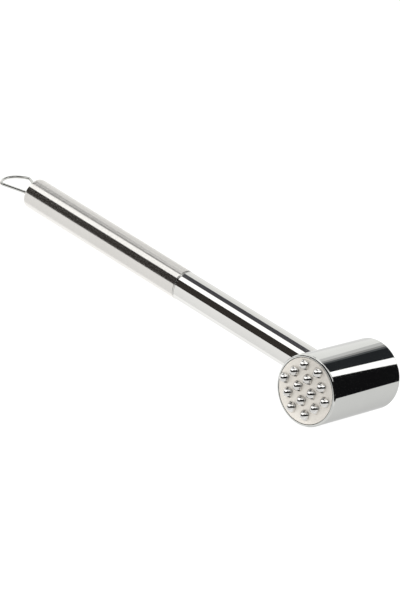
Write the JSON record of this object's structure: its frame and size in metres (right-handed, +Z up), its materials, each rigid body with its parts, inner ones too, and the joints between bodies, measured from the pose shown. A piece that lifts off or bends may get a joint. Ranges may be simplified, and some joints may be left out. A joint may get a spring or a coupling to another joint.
{
  "type": "meat mallet",
  "caption": "All-metal meat mallet: round head with a studded face and a smooth face, two-part tubular handle with a satin grip, and a bent-wire hanging loop.",
  "frame": {"origin": "on the floor, below the middle of the whole mallet as it lies on its head's round side and its tail", "axes": "+Z up; +X from the hanging loop to the head; -Y out of the studded face and +Y out of the smooth face"},
  "size_m": [0.318, 0.0698, 0.045],
  "materials": {
    "polished_steel": "mirror-polished stainless steel",
    "satin_steel": "satin-brushed stainless steel",
    "matte_steel": "matte blasted stainless steel",
    "machined_steel": "as machined, hidden inside"
  },
  "bodies": {
    "root": {"head_shell": "polished_steel", "head_core": "machined_steel", "toothed_plate": "matte_steel", "smooth_plate": "polished_steel", "stud_01": "polished_steel", "stud_02": "polished_steel", "stud_03": "polished_steel", "stud_04": "polished_steel", "stud_05": "polished_steel", "stud_06": "polished_steel", "stud_07": "polished_steel", "stud_08": "polished_steel", "stud_09": "polished_steel", "stud_10": "polished_steel", "stud_11": "polished_steel", "stud_12": "polished_steel", "stud_13": "polished_steel", "stud_14": "polished_steel", "head_spigot": "machined_steel", "front_tube": "polished_steel", "joint_ring": "polished_steel", "tie_rod": "machined_steel", "rod_washer": "machined_steel", "rod_nut": "machined_steel", "rear_tube": "satin_steel", "end_cap": "satin_steel", "hanging_loop": "polished_steel"}
  },
  "joints": []
}
